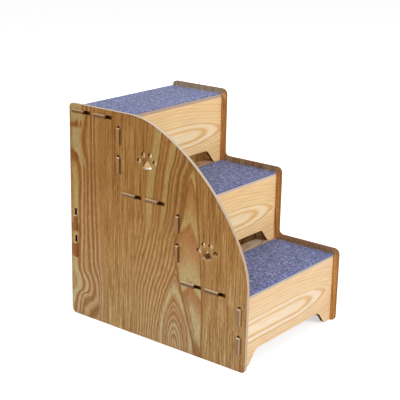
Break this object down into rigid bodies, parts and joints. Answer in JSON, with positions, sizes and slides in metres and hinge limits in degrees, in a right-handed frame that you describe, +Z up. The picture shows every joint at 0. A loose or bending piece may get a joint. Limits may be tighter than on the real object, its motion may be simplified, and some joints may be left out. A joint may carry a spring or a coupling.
{
  "type": "pet stairs",
  "caption": "Free-standing wooden pet stairs of slotted boards, with a curved side panel with paw cut-outs, a stepped side panel and a carpet on each tread.",
  "frame": {"origin": "centre of the bounding box's bottom face, on the floor", "axes": "+Z up, +Y the way the stairs climb, +X to the climber's right; the curved panel is at -X"},
  "size_m": [0.299, 0.399, 0.4],
  "materials": {
    "side_wood": "satin laminate",
    "riser_wood": "satin laminate",
    "tread_wood": "satin laminate",
    "carpet": "looped pile"
  },
  "bodies": {
    "root": {"left_side_panel": "side_wood", "right_side_panel": "side_wood", "bottom_riser": "riser_wood", "middle_riser": "riser_wood", "top_riser": "riser_wood", "bottom_tread": "tread_wood", "middle_tread": "tread_wood", "top_tread": "tread_wood", "back_rail": "side_wood", "bottom_carpet": "carpet", "middle_carpet": "carpet", "top_carpet": "carpet"}
  },
  "joints": []
}
